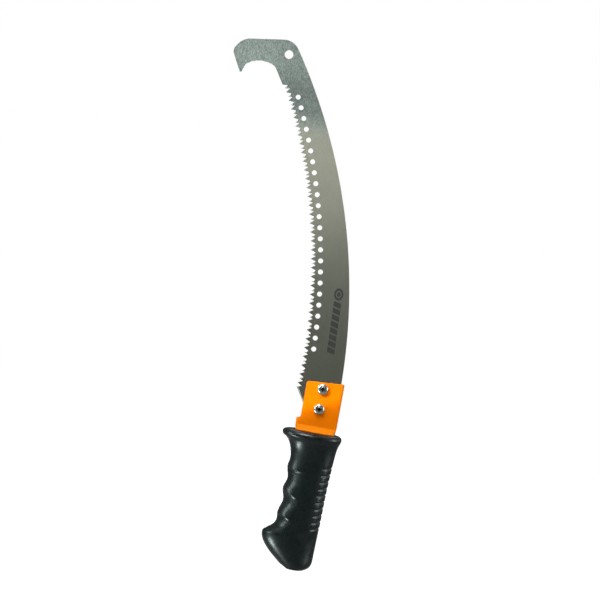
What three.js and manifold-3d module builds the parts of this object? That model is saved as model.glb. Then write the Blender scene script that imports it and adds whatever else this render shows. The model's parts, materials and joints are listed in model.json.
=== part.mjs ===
// Pole saw head: a curved pull-saw blade with a lopping hook, clamped by two screws
// between the plies of a flattened steel tube, whose round end sits in a moulded grip.
// Millimetres. +Z runs up the axis of the round tube, Z = 0 is the lower end of the grip.
// The blade lies in the XZ plane with its teeth towards -X, and the screw heads face -Y.
import * as THREE from 'three';
import { mergeVertices } from 'three/addons/utils/BufferGeometryUtils.js';
import Module from 'manifold-3d';

const wasm = await Module();
wasm.setup();

// ---------------------------------------------------------------- driving dimensions
const CLEARANCE = 0.3;             // between pieces that do not touch
const FACE_GAP = 0.1;              // between stacked faces

const BLADE = {
  thickness: 1.4,
  spine: { x: -624.9, z: 197.3, r: 644.2 },
  teeth: { x: -661.5, z: 222.6, long: 633.2, short: 634.2, root: 638.5,
           first: 27.72, last: -2.35, count: 69, shortAt: 0.525, rootA: 0.31, rootB: 0.735 },
  holes: { x: -671.5, z: 221.6, r: 654.0, first: 26.17, last: 1.66, count: 24, dia: 5.5 },
  rope: { x: -102.9, z: 554.2, dia: 9.6 },
  tangEnd: 163.5,
};
const TUBE = { od: 31, wall: 1.5, gap: 2.0, start: 20, flatFrom: 157, roundTo: 133, top: 214 };
const HOLDER = { left: -18.6, shoulder: 163.9, shoulderR: 3, topLeft: 205.1, topSlope: 0.069,
                 cornerL: 3.5, cornerR: 2, right: 23.2 };
const SCREW = { x: 0, upper: 199.0, lower: 176.7, shank: 2.9, head: 6.0, headH: 3.9, hole: 3.25,
                length: 16, recess: 3.3, recessW: 1.25, recessD: 2.4 };
const WASHER = { r: 6.0, bore: 3.25, t: 1.6 };
const SPRING = { r: 5.6, bore: 3.25, t: 1.6, slit: 1.0 };
const NUT = { af: 10, t: 5.0, bore: 3.2 };
const SOCKET = { r: 14.0 };

// ---------------------------------------------------------------- helpers
const deg = Math.PI / 180;
const onArc = (c, r, a) => new THREE.Vector2(c.x + r * Math.cos(a * deg), c.z + r * Math.sin(a * deg));
const spineX = (z) => BLADE.spine.x + Math.sqrt(BLADE.spine.r ** 2 - (z - BLADE.spine.z) ** 2);
const smoothstep = (t) => { const s = Math.min(1, Math.max(0, t)); return s * s * (3 - 2 * s); };

// Corner points with a radius each become a chain of points with true arcs in the corners.
function filleted(corners) {
  const out = [];
  const n = corners.length;
  for (let i = 0; i < n; i++) {
    const [x, z, r] = corners[i];
    const b = new THREE.Vector2(x, z);
    if (!r) { out.push(b); continue; }
    const a = new THREE.Vector2(...corners[(i + n - 1) % n].slice(0, 2));
    const c = new THREE.Vector2(...corners[(i + 1) % n].slice(0, 2));
    const u = a.clone().sub(b).normalize();
    const v = c.clone().sub(b).normalize();
    const half = Math.acos(THREE.MathUtils.clamp(u.dot(v), -1, 1)) / 2;
    const reach = r / Math.tan(half);
    const centre = b.clone().add(u.clone().add(v).normalize().multiplyScalar(r / Math.sin(half)));
    const p = b.clone().add(u.multiplyScalar(reach)).sub(centre);
    const q = b.clone().add(v.multiplyScalar(reach)).sub(centre);
    let sweep = q.angle() - p.angle();
    if (sweep > Math.PI) sweep -= 2 * Math.PI;
    if (sweep < -Math.PI) sweep += 2 * Math.PI;
    const steps = Math.max(2, Math.ceil(Math.abs(sweep) / (Math.PI / 12)));
    for (let k = 0; k <= steps; k++) {
      const t = p.angle() + sweep * k / steps;
      out.push(new THREE.Vector2(centre.x + r * Math.cos(t), centre.y + r * Math.sin(t)));
    }
  }
  return out;
}

// A shape drawn in X and Z, given thickness along Y.
function slab(shape, y0, y1, segments = 20) {
  const g = new THREE.ExtrudeGeometry(shape, { depth: y1 - y0, bevelEnabled: false, curveSegments: segments });
  g.rotateX(Math.PI / 2);
  g.translate(0, y1, 0);
  return g;
}

function circle(x, z, r, n = 24) {
  return Array.from({ length: n }, (_, i) => new THREE.Vector2(
    x + r * Math.cos(2 * Math.PI * i / n), z + r * Math.sin(2 * Math.PI * i / n)));
}

function toManifold(geometry) {
  const g = geometry.clone();
  g.deleteAttribute('normal');
  g.deleteAttribute('uv');
  const m = mergeVertices(g, 1e-4);
  return new wasm.Manifold(new wasm.Mesh({
    numProp: 3,
    vertProperties: new Float32Array(m.attributes.position.array),
    triVerts: new Uint32Array(m.index.array),
  }));
}

function toGeometry(solid) {
  const m = solid.getMesh();
  const g = new THREE.BufferGeometry();
  g.setAttribute('position', new THREE.BufferAttribute(new Float32Array(m.vertProperties), 3));
  g.setIndex(new THREE.BufferAttribute(new Uint32Array(m.triVerts), 1));
  g.computeVertexNormals();
  return g;
}

// A closed solid through a stack of rings, each an anticlockwise list of Vector3 seen from +Z.
function loft(rings) {
  const n = rings[0].length;
  const pos = [];
  for (const ring of rings) for (const p of ring) pos.push(p.x, p.y, p.z);
  const idx = [];
  for (let k = 0; k + 1 < rings.length; k++) {
    for (let i = 0; i < n; i++) {
      const a = k * n + i;
      const b = k * n + (i + 1) % n;
      idx.push(a, b, b + n, a, b + n, a + n);
    }
  }
  for (const [k, up] of [[0, false], [rings.length - 1, true]]) {
    const c = new THREE.Vector3();
    rings[k].forEach((p) => c.add(p));
    c.divideScalar(n);
    const at = pos.length / 3;
    pos.push(c.x, c.y, c.z);
    for (let i = 0; i < n; i++) {
      const a = k * n + i;
      const b = k * n + (i + 1) % n;
      if (up) idx.push(a, b, at); else idx.push(b, a, at);
    }
  }
  const g = new THREE.BufferGeometry();
  g.setAttribute('position', new THREE.BufferAttribute(new Float32Array(pos), 3));
  g.setIndex(idx);
  return g;
}

// Smooth curve through (z, value) pairs that never overshoots between them.
function smooth(pairs) {
  const z = pairs.map((p) => p[0]);
  const v = pairs.map((p) => p[1]);
  const n = z.length;
  const d = v.slice(1).map((b, i) => (b - v[i]) / (z[i + 1] - z[i]));
  const m = v.map((_, i) => {
    if (i === 0 || i === n - 1) return d[Math.min(i, n - 2)];
    if (d[i - 1] * d[i] <= 0) return 0;
    const w1 = 2 * (z[i + 1] - z[i]) + (z[i] - z[i - 1]);
    const w2 = (z[i + 1] - z[i]) + 2 * (z[i] - z[i - 1]);
    return (w1 + w2) / (w1 / d[i - 1] + w2 / d[i]);
  });
  return (q) => {
    if (q <= z[0]) return v[0];
    if (q >= z[n - 1]) return v[n - 1];
    let i = 0;
    while (q > z[i + 1]) i++;
    const h = z[i + 1] - z[i];
    const t = (q - z[i]) / h;
    return v[i] * (1 + 2 * t) * (1 - t) ** 2 + m[i] * h * t * (1 - t) ** 2
      + v[i + 1] * t * t * (3 - 2 * t) + m[i + 1] * h * t * t * (t - 1);
  };
}

// ---------------------------------------------------------------- saw blade
function bladeOutline() {
  const T = BLADE.teeth;
  const S = BLADE.spine;
  const pts = [];
  // tang foot, then up the spine
  const foot = BLADE.tangEnd;
  const heelSlope = -1.59;
  const last = onArc(T, T.long, T.last);
  const footLeft = last.x + (foot - last.y) / heelSlope;
  pts.push(...filleted([[footLeft + 40, foot, 0], [spineX(foot), foot, 3], [spineX(foot + 40), foot + 40, 0]])
    .slice(1, -1));
  const a0 = Math.asin((foot + 4 - S.z) / S.r) / deg;
  const cornerZ = 571.0;
  const a1 = Math.asin((cornerZ - 10.3 - S.z) / S.r) / deg;
  for (let k = 0; k <= 26; k++) pts.push(onArc(S, S.r, a0 + (a1 - a0) * k / 26));
  // blunt top corner, bulge, beak and the mouth of the hook
  const hook = filleted([
    [...onArc(S, S.r, a1).toArray(), 0],
    [-100.3, cornerZ, 18],
    [-155.8, 562.7, 19],
    [-164.9, 548.6, 8],
    [-151.9, 524.3, 1.3],
    [-148.0, 535.8, 6],
    [-135.2, 543.9, 30],
    [-116.4, 540.0, 10],
    [-103.8, 520.3, 0],
    [-98.2, 520.7, 0],
  ]);
  pts.push(...hook.slice(1));
  // teeth in pairs down the concave edge: a broad long one, then a narrow short one
  const step = (T.first - T.last) / (T.count - 1);
  for (let k = 0; k < T.count; k++) {
    const isLong = k % 2 === 1 || k === 0 || k === T.count - 1;
    const pair = T.first - step * (2 * Math.floor((k + 1) / 2) - 1);
    const tip = k % 2 === 1 ? pair : pair - 2 * step * (k === 0 ? 0.5 : T.shortAt);
    const tipAt = k === 0 ? T.first : (k === T.count - 1 ? T.last : tip);
    pts.push(onArc(T, isLong ? T.long : T.short, tipAt));
    if (k === T.count - 1) break;
    const root = k % 2 === 1 ? pair - 2 * step * T.rootA : pair - 2 * step * T.rootB;
    pts.push(onArc(T, T.root, k === 0 ? T.first - 0.5 * step : root));
  }
  // heel back to the tang foot
  pts.push(...filleted([[last.x, last.y, 0], [footLeft, foot, 3], [footLeft + 40, foot, 0]]).slice(1, -1));
  return pts;
}

function bladeGeometry() {
  const shape = new THREE.Shape(bladeOutline());
  const H = BLADE.holes;
  for (let k = 0; k < H.count; k++) {
    const c = onArc(H, H.r, H.first + (H.last - H.first) * k / (H.count - 1));
    shape.holes.push(new THREE.Path(circle(c.x, c.y, H.dia / 2, 14)));
  }
  shape.holes.push(new THREE.Path(circle(BLADE.rope.x, BLADE.rope.z, BLADE.rope.dia / 2, 20)));
  for (const z of [SCREW.upper, SCREW.lower]) {
    shape.holes.push(new THREE.Path(circle(SCREW.x, z, SCREW.hole, 20)));
  }
  return slab(shape, -BLADE.thickness / 2, BLADE.thickness / 2);
}

// ---------------------------------------------------------------- blade holder
// The press leaves a crisp fold where the flat part ends, and the tube then opens to round.
function opened(t) {
  const s = Math.min(1, Math.max(0, t));
  return 0.45 * s + s ** 3 * (2.65 - 2.1 * s);
}

// The tube keeps its wall length while it is pressed flat, so every section is a rounded slot
// whose straight sides grow as its ends tighten.
function tubeRing(z, offset, ends = 12) {
  const round = (TUBE.od - TUBE.wall) / 2;
  const flat = (TUBE.gap + TUBE.wall) / 2;
  const mid = flat + (round - flat) * opened((TUBE.flatFrom - z) / (TUBE.flatFrom - TUBE.roundTo));
  const half = Math.PI * (round - mid) / 2 + 1e-3;
  const r = mid + offset;
  const ring = [];
  for (const side of [1, -1]) {
    for (let k = 0; k <= ends; k++) {
      const a = (side > 0 ? -90 : 90) + 180 * k / ends;
      ring.push(new THREE.Vector3(side * half + r * Math.cos(a * deg), r * Math.sin(a * deg), z));
    }
  }
  return ring;
}

function tubeLevels(z0, z1) {
  const zs = [z0];
  const steps = 12;
  for (let k = 0; k <= steps; k++) {
    const z = TUBE.roundTo + (TUBE.flatFrom - TUBE.roundTo) * k / steps;
    if (z > z0 && z < z1) zs.push(z);
  }
  zs.push(z1);
  return zs;
}

function holderGeometry() {
  const outer = loft(tubeLevels(TUBE.start, TUBE.top).map((z) => tubeRing(z, TUBE.wall / 2)));
  const inner = loft(tubeLevels(TUBE.start - 1, TUBE.top + 1).map((z) => tubeRing(z, -TUBE.wall / 2)));
  const H = HOLDER;
  const topRight = H.topLeft + H.topSlope * (H.right - H.left);
  const outline = filleted([
    [-60, TUBE.start - 5, 0], [60, TUBE.start - 5, 0], [60, 120, 0], [H.right, 150, 0],
    [H.right, topRight, H.cornerR], [H.left, H.topLeft, H.cornerL],
    [H.left, H.shoulder, H.shoulderR], [-23.6, H.shoulder, 1.6], [-23.6, 140, 0], [-60, 120, 0],
  ]);
  const keep = toManifold(slab(new THREE.Shape(outline), -30, 30));
  let solid = toManifold(outer).subtract(toManifold(inner)).intersect(keep);
  for (const z of [SCREW.upper, SCREW.lower]) {
    const drill = slab(new THREE.Shape(circle(SCREW.x, z, SCREW.hole, 20)), -10, 10);
    solid = solid.subtract(toManifold(drill));
  }
  return toGeometry(solid);
}

// ---------------------------------------------------------------- grip
// Front, back and side limits of the grip at each height.
const gripLeft = smooth([[0, -9.3], [5.5, -16.1], [11, -22.8], [16.6, -28.8], [25.4, -35.6], [31.7, -37.9],
  [35, -38.1], [39.2, -33.7], [43.6, -28.0], [47.4, -25.6], [51, -24.6], [57.5, -25.3], [73, -21.5],
  [84.6, -24.1], [97, -21.0], [110, -23.4], [118.5, -22.0], [128, -23.5], [134.0, -25.6], [137.6, -27.4],
  [141.0, -30.4], [142.8, -33.3], [144.2, -35.0], [145.8, -35.7], [147.6, -35.4], [149.2, -34.2],
  [150.4, -32.3], [151.0, -30.2], [151.2, -28.0]]);
const gripRight = smooth([[0, 15.0], [2.5, 19.6], [5, 21.5], [9, 22.7], [23, 23.1], [56, 23.9], [87, 24.4],
  [110, 25.5], [127, 26.7], [134, 27.4], [140.0, 28.7], [143.2, 30.0], [145.6, 30.6], [147.2, 30.7],
  [148.8, 30.1], [150.0, 28.9], [150.8, 27.2], [151.2, 25.2]]);
const gripDepth = smooth([[0, 16.3], [2.5, 17.8], [8, 18.6], [40, 19.0], [84.6, 18.6], [118.5, 18.2],
  [128, 18.7], [134.5, 19.6], [140.4, 21.0], [144.0, 22.6], [146.0, 22.9], [148.0, 22.2],
  [149.6, 20.6], [150.6, 18.4], [151.2, 15.6]]);

function gripRing(z, n = 36) {
  const left = gripLeft(z);
  const right = gripRight(z);
  const depth = gripDepth(z);
  const cx = (left + right) / 2;
  const power = 2 / (2.3 - 0.25 * smoothstep((z - 120) / 25));
  return Array.from({ length: n }, (_, i) => {
    const a = 2 * Math.PI * i / n;
    const c = Math.cos(a);
    const s = Math.sin(a);
    const x = cx + (right - left) / 2 * Math.sign(c) * Math.abs(c) ** power;
    return new THREE.Vector3(x, depth * Math.sign(s) * Math.abs(s) ** power, z);
  });
}

function gripGeometry() {
  const levels = [0, 1.2, 3, 5.5, 11, 17, 25, 31.7, 35, 39, 43.6, 47.4, 52, 57.5, 65, 73, 79, 84.6, 91, 97,
    103.5, 110, 118.5, 124, 129, 134.5, 138, 141, 142.8, 144.2, 145.8, 147.6, 149.2,
    150.4, 151.2];
  const body = toManifold(loft(levels.map((z) => gripRing(z))));
  const seat = (z) => CLEARANCE + 0.05 + 0.8 * smoothstep((z - 141) / 8) + 1.3 * smoothstep((z - 149.2) / 2);
  const mouth = [149.8, 150.5, 151.2, 152.2, 153.5];
  const cavity = loft([...tubeLevels(TUBE.start - CLEARANCE, 149.2), ...mouth]
    .map((z) => tubeRing(z, TUBE.wall / 2 + seat(z))));
  const bore = new THREE.CylinderGeometry(SOCKET.r, SOCKET.r, TUBE.start + 10, 32);
  bore.rotateX(Math.PI / 2);
  bore.translate(0, 0, (TUBE.start + 10) / 2 - 8);
  return toGeometry(body.subtract(toManifold(cavity)).subtract(toManifold(bore)));
}

// ---------------------------------------------------------------- fasteners
const PLY_FACE = TUBE.gap / 2 + TUBE.wall;
const STACK = {
  head: -PLY_FACE - FACE_GAP,
  washer: PLY_FACE + FACE_GAP,
  spring: PLY_FACE + 2 * FACE_GAP + WASHER.t,
  nut: PLY_FACE + 3 * FACE_GAP + WASHER.t + SPRING.t,
};

function screwGeometry() {
  const S = SCREW;
  const end = STACK.head + S.length;
  // profile of a raised round head and a chamfered shank, turned about the screw's axis
  const profile = [[0, end], [S.shank - 0.7, end], [S.shank, end - 0.7], [S.shank, STACK.head],
    [S.head - 0.3, STACK.head], [S.head, STACK.head - 0.4], [S.head - 0.15, STACK.head - 1.5],
    [S.head - 1.0, STACK.head - 2.7], [S.head - 2.7, STACK.head - 3.6], [0, STACK.head - S.headH]]
    .map(([r, y]) => new THREE.Vector2(r, y));
  const turned = new THREE.LatheGeometry(profile.reverse(), 20);
  let solid = toManifold(turned);
  if (solid.volume() < 0) throw new Error('screw is inside out');
  for (const [w, h] of [[S.recess * 2, S.recessW], [S.recessW, S.recess * 2]]) {
    const wing = new THREE.BoxGeometry(w, S.recessD * 2, h);
    wing.translate(0, STACK.head - S.headH, 0);
    solid = solid.subtract(toManifold(wing));
  }
  return toGeometry(solid);
}

function washerGeometry() {
  const shape = new THREE.Shape(circle(0, 0, WASHER.r, 24));
  shape.holes.push(new THREE.Path(circle(0, 0, WASHER.bore, 20)));
  return slab(shape, STACK.washer, STACK.washer + WASHER.t);
}

function springWasherGeometry() {
  const n = 20;
  const gapAngle = Math.asin(SPRING.slit / 2 / SPRING.r);
  const pts = [];
  for (let k = 0; k <= n; k++) {
    const a = gapAngle + (2 * Math.PI - 2 * gapAngle) * k / n;
    pts.push(new THREE.Vector2(SPRING.r * Math.cos(a), SPRING.r * Math.sin(a)));
  }
  for (let k = n; k >= 0; k--) {
    const a = gapAngle + (2 * Math.PI - 2 * gapAngle) * k / n;
    pts.push(new THREE.Vector2(SPRING.bore * Math.cos(a), SPRING.bore * Math.sin(a)));
  }
  return slab(new THREE.Shape(pts), STACK.spring, STACK.spring + SPRING.t);
}

function nutGeometry() {
  const shape = new THREE.Shape(circle(0, 0, NUT.af / Math.sqrt(3), 6));
  shape.holes.push(new THREE.Path(circle(0, 0, NUT.bore, 20)));
  return slab(shape, STACK.nut, STACK.nut + NUT.t);
}

// ---------------------------------------------------------------- assembly
const finish = {
  steel: new THREE.MeshStandardMaterial({ color: 0x8d9086, roughness: 0.38, metalness: 0.9 }),
  paint: new THREE.MeshStandardMaterial({ color: 0xff9400, roughness: 0.4, metalness: 0.0 }),
  plastic: new THREE.MeshStandardMaterial({ color: 0x1c2022, roughness: 0.45, metalness: 0.0 }),
  zinc: new THREE.MeshStandardMaterial({ color: 0xc8c9c4, roughness: 0.28, metalness: 1.0 }),
};
const group = new THREE.Group();
group.name = 'pole_saw_head';
function add(parent, name, geometry, material) {
  const mesh = new THREE.Mesh(geometry, material);
  mesh.name = name;
  parent.add(mesh);
}
add(group, 'saw_blade', bladeGeometry(), finish.steel);
add(group, 'blade_holder', holderGeometry(), finish.paint);
add(group, 'grip', gripGeometry(), finish.plastic);
for (const [where, z] of [['upper', SCREW.upper], ['lower', SCREW.lower]]) {
  const station = new THREE.Group();
  station.name = `${where}_fastener`;
  station.position.set(SCREW.x, 0, z);
  add(station, `${where}_screw`, screwGeometry(), finish.zinc);
  add(station, `${where}_flat_washer`, washerGeometry(), finish.zinc);
  add(station, `${where}_spring_washer`, springWasherGeometry(), finish.zinc);
  add(station, `${where}_nut`, nutGeometry(), finish.zinc);
  group.add(station);
}

export default group;
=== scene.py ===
"""Pole saw head: curved pull-saw blade, flattened tube holder, moulded grip and two screws.

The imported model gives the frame. Every sub-assembly below is a class that keeps its own sizes in
millimetres, models its pieces as by hand with bpy.ops, and dresses them in procedural materials.
"""
from __future__ import annotations

import json
import logging
import math
from contextlib import contextmanager
from dataclasses import dataclass, field
from enum import Enum
from typing import Any, Callable, Iterator, Sequence

import bmesh
import bpy
from mathutils import Matrix, Vector

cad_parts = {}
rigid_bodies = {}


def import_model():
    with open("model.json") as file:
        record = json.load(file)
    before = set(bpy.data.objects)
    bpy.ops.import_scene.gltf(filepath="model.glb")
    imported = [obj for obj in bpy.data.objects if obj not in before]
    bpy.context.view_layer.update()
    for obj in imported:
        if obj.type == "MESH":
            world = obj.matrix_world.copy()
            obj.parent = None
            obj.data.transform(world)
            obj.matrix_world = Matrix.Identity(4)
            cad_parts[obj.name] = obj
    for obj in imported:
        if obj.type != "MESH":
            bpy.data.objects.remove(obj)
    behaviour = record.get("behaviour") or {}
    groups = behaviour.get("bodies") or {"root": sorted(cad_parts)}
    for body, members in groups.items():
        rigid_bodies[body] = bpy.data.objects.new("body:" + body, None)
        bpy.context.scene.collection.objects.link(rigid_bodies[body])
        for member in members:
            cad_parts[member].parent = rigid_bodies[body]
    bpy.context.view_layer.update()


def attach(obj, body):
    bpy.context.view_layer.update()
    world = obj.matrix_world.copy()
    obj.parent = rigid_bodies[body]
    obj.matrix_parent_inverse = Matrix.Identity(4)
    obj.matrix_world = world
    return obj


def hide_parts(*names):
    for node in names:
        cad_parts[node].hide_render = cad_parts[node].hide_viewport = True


LOG = logging.getLogger("pole_saw_head")
MM = 0.001
MERGE = 0.002 * MM
SCREW_HEIGHTS = (199.0, 176.7)
SCREW_HOLE = 6.5
Colour = tuple[float, float, float]


# ------------------------------------------------------------------------------ modelling helpers
class Plane(Enum):
    """The plane that an outline is drawn in."""

    UPRIGHT = "xz"
    LEVEL = "xy"


def deselect() -> None:
    """Deselect every object."""
    bpy.ops.object.select_all(action="DESELECT")


def activate(piece: bpy.types.Object) -> None:
    """Select one piece alone and make it active."""
    deselect()
    piece.select_set(True)
    bpy.context.view_layer.objects.active = piece


@contextmanager
def editing(piece: bpy.types.Object, mode: str = "VERT") -> Iterator[bmesh.types.BMesh]:
    """Open a piece in edit mode with nothing selected.

    Args:
        piece: The mesh object to edit.
        mode: The selection mode, VERT, EDGE or FACE.

    Returns:
        The edit mesh, for selecting in code.
    """
    activate(piece)
    bpy.ops.object.mode_set(mode="EDIT")
    bpy.ops.mesh.select_mode(type=mode)
    bpy.ops.mesh.select_all(action="DESELECT")
    try:
        yield bmesh.from_edit_mesh(piece.data)
    finally:
        bpy.ops.object.mode_set(mode="OBJECT")


def pick(items: Sequence[Any], test: Callable[[Any], bool]) -> int:
    """Select exactly the parts of an edit mesh that pass a test.

    Args:
        items: The mesh's vertices or faces.
        test: Tells whether one is wanted.

    Returns:
        How many are selected.
    """
    wanted = [item for item in items if test(item)]
    for item in items:
        item.select_set(False)
    for item in wanted:
        item.select_set(True)
    return len(wanted)


def pick_verts(piece: bpy.types.Object, test: Callable[[Vector], bool]) -> int:
    """Select exactly the vertices whose place passes a test.

    Args:
        piece: The mesh object in edit mode.
        test: Tells from a vertex's place whether it is wanted.

    Returns:
        How many are selected.
    """
    mesh = bmesh.from_edit_mesh(piece.data)
    count = pick(mesh.verts, lambda vert: test(vert.co))
    mesh.select_flush_mode()
    bmesh.update_edit_mesh(piece.data)
    return count


def pick_faces(piece: bpy.types.Object, test: Callable[[bmesh.types.BMFace], bool]) -> int:
    """Select exactly the faces that pass a test.

    Args:
        piece: The mesh object in edit mode, in face selection mode.
        test: Tells whether a face is wanted.

    Returns:
        How many are selected.
    """
    mesh = bmesh.from_edit_mesh(piece.data)
    mesh.normal_update()
    count = pick(mesh.faces, test)
    bmesh.update_edit_mesh(piece.data)
    return count


def merge_all() -> None:
    """Select the whole mesh that is being edited and merge its doubles."""
    bpy.ops.mesh.select_all(action="SELECT")
    bpy.ops.mesh.remove_doubles(threshold=MERGE)


def place(piece: bpy.types.Object) -> None:
    """Write a piece's own place, turn and scale into its mesh."""
    activate(piece)
    bpy.ops.object.transform_apply(location=True, rotation=True, scale=True)


def face_outwards(piece: bpy.types.Object) -> None:
    """Merge doubles and turn every face of a closed piece outwards.

    Args:
        piece: The mesh object.
    """
    with editing(piece):
        merge_all()
        bpy.ops.mesh.normals_make_consistent(inside=False)


def finish_with(piece: bpy.types.Object, kind: str, **settings: Any) -> None:
    """Add one modifier and apply it.

    Args:
        piece: The mesh object.
        kind: The modifier's type.
        settings: The modifier's properties.
    """
    activate(piece)
    modifier = piece.modifiers.new(kind.title(), kind)
    for name, value in settings.items():
        setattr(modifier, name, value)
    bpy.ops.object.modifier_apply(modifier=modifier.name)


def carve(piece: bpy.types.Object, tool: bpy.types.Object, operation: str = "DIFFERENCE") -> None:
    """Cut, join or trim a piece with a tool shape, then discard the tool.

    Args:
        piece: The mesh object.
        tool: The shape that works on it.
        operation: DIFFERENCE, UNION or INTERSECT.
    """
    finish_with(piece, "BOOLEAN", object=tool, operation=operation, solver="EXACT")
    bpy.data.objects.remove(tool, do_unlink=True)


def soften(piece: bpy.types.Object, width: float, segments: int = 2, angle: float = 35.0) -> None:
    """Round a piece's sharp edges.

    Args:
        piece: The mesh object.
        width: The width of the rounding in millimetres.
        segments: The faces across each rounding.
        angle: The least angle, in degrees, of an edge that is rounded.
    """
    finish_with(piece, "BEVEL", width=width * MM, segments=segments, limit_method="ANGLE",
                angle_limit=math.radians(angle), use_clamp_overlap=True, miter_outer="MITER_ARC",
                harden_normals=False)


def smooth_shade(piece: bpy.types.Object, angle: float = 32.0) -> None:
    """Shade a piece smooth except across its sharp edges."""
    activate(piece)
    bpy.ops.object.shade_smooth_by_angle(angle=math.radians(angle))


def twin(piece: bpy.types.Object, name: str, shift: tuple[float, float, float]) -> bpy.types.Object:
    """Copy a piece with its own mesh and move the copy.

    Args:
        piece: The piece to copy.
        name: The copy's name.
        shift: How far the copy lies from the piece, in metres.

    Returns:
        The copy, with its place in its mesh.
    """
    activate(piece)
    bpy.ops.object.duplicate(linked=False)
    copy = bpy.context.object
    copy.name = copy.data.name = name
    copy.location = shift
    place(copy)
    return copy


@dataclass(frozen=True)
class Arc:
    """A circle in the plane of the blade, in millimetres."""

    x: float
    z: float
    r: float

    def at(self, degrees: float) -> tuple[float, float]:
        """The point of the circle at an angle above the horizontal."""
        turn = math.radians(degrees)
        return self.x + self.r * math.cos(turn), self.z + self.r * math.sin(turn)

    def x_at(self, z: float) -> float:
        """The circle's right-hand X at a height."""
        return self.x + math.sqrt(self.r ** 2 - (z - self.z) ** 2)

    def angle_at(self, z: float) -> float:
        """The angle of the circle's right-hand point at a height."""
        return math.degrees(math.asin((z - self.z) / self.r))

    def grown(self, by: float) -> "Arc":
        """The same circle with a larger or smaller radius."""
        return Arc(self.x, self.z, self.r + by)


class Pen:
    """An outline drawn by extruding one vertex, in millimetres, in an upright or a level plane."""

    def __init__(self, u: float, v: float, offset: float = 0.0, plane: Plane = Plane.UPRIGHT,
                 name: str | None = None) -> None:
        """Set the pen down.

        Args:
            u: The start's X.
            v: The start's Z in an upright plane, or Y in a level one.
            offset: The plane's own Y, or Z if it is level.
            plane: Whether the plane stands or lies.
            name: The name of a new object, or None to draw in the mesh that is being edited.
        """
        self.plane, self.offset, self.u, self.v = plane, offset, u, v
        if name is not None:
            deselect()
        else:
            bpy.ops.mesh.select_all(action="DESELECT")
        bpy.ops.mesh.primitive_plane_add(size=0.01 * MM, location=self._point(u, v))
        if name is not None:
            bpy.ops.object.transform_apply(location=True, rotation=True, scale=True)
            bpy.context.object.name = bpy.context.object.data.name = name
            bpy.ops.object.mode_set(mode="EDIT")
            bpy.ops.mesh.select_mode(type="VERT")
            bpy.ops.mesh.select_all(action="SELECT")
        bpy.ops.mesh.merge(type="CENTER")
        self.piece = bpy.context.object

    def _point(self, u: float, v: float) -> tuple[float, float, float]:
        """A point of the plane in metres.

        Args:
            u: Its X in millimetres.
            v: Its Z in an upright plane, or its Y in a level one.

        Returns:
            The point.
        """
        if self.plane is Plane.UPRIGHT:
            return u * MM, self.offset * MM, v * MM
        return u * MM, v * MM, self.offset * MM

    def line(self, u: float, v: float) -> "Pen":
        """Draw a straight edge to a point.

        Args:
            u: The point's X.
            v: The point's Z, or its Y in a level plane.

        Returns:
            The pen.
        """
        here, there = self._point(self.u, self.v), self._point(u, v)
        step = tuple(b - a for a, b in zip(here, there))
        bpy.ops.mesh.extrude_region_move(TRANSFORM_OT_translate={"value": step})
        self.u, self.v = u, v
        return self

    def turn(self, cu: float, cv: float, degrees: float, steps: int) -> "Pen":
        """Draw an arc about a centre, anticlockwise if degrees is positive.

        Args:
            cu: The centre's X.
            cv: The centre's Z, or its Y in a level plane.
            degrees: How far the arc turns.
            steps: The edges along it.

        Returns:
            The pen.
        """
        axis = (0.0, 1.0, 0.0) if self.plane is Plane.UPRIGHT else (0.0, 0.0, -1.0)
        turn = math.radians(degrees)
        bpy.ops.mesh.spin(steps=steps, angle=turn, center=self._point(cu, cv), axis=axis)
        du, dv = self.u - cu, self.v - cv
        self.u = cu + du * math.cos(turn) - dv * math.sin(turn)
        self.v = cv + du * math.sin(turn) + dv * math.cos(turn)
        return self

    def follow(self, corners: Sequence[tuple[float, float, float]], fine: float = 9.0) -> "Pen":
        """Draw through corners that are each rounded to a radius, ending in the last one.

        Args:
            corners: Each corner's place and the radius of its rounding, or 0 for a sharp one.
            fine: The most degrees that one step of a rounding turns.

        Returns:
            The pen.
        """
        for i, (u, v, radius) in enumerate(corners):
            if radius <= 0 or i == len(corners) - 1:
                self.line(u, v)
                continue
            corner = Vector((u, v))
            back = (Vector((self.u, self.v)) - corner).normalized()
            ahead = (Vector(corners[i + 1][:2]) - corner).normalized()
            half = back.angle(ahead) / 2
            start = corner + back * (radius / math.tan(half))
            centre = corner + (back + ahead).normalized() * (radius / math.sin(half))
            sweep = 180.0 - math.degrees(2 * half)
            if back.x * ahead.y - back.y * ahead.x > 0:
                sweep = -sweep
            self.line(start.x, start.y)
            self.turn(centre.x, centre.y, sweep, max(2, math.ceil(abs(sweep) / fine)))
        return self

    def close(self) -> None:
        """Join the outline's ends."""
        bpy.ops.mesh.select_linked()
        bpy.ops.mesh.remove_doubles(threshold=MERGE)

    def lift(self) -> bpy.types.Object:
        """Leave edit mode and give the piece."""
        bpy.ops.object.mode_set(mode="OBJECT")
        return self.piece


def plate(name: str, start: tuple[float, float], corners: Sequence[tuple[float, float, float]],
          back: float, front: float) -> bpy.types.Object:
    """A flat plate with a rounded outline in the plane of the blade.

    Args:
        name: The plate's name.
        start: Where the outline starts and ends.
        corners: The other corners with their roundings, the last of them the start again.
        back: The Y of one face.
        front: The Y of the other face.

    Returns:
        The plate.
    """
    pen = Pen(start[0], start[1], back, name=name)
    pen.follow(corners)
    pen.close()
    bpy.ops.mesh.edge_face_add()
    bpy.ops.mesh.extrude_region_move(TRANSFORM_OT_translate={"value": (0, (front - back) * MM, 0)})
    piece = pen.lift()
    face_outwards(piece)
    return piece


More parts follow.
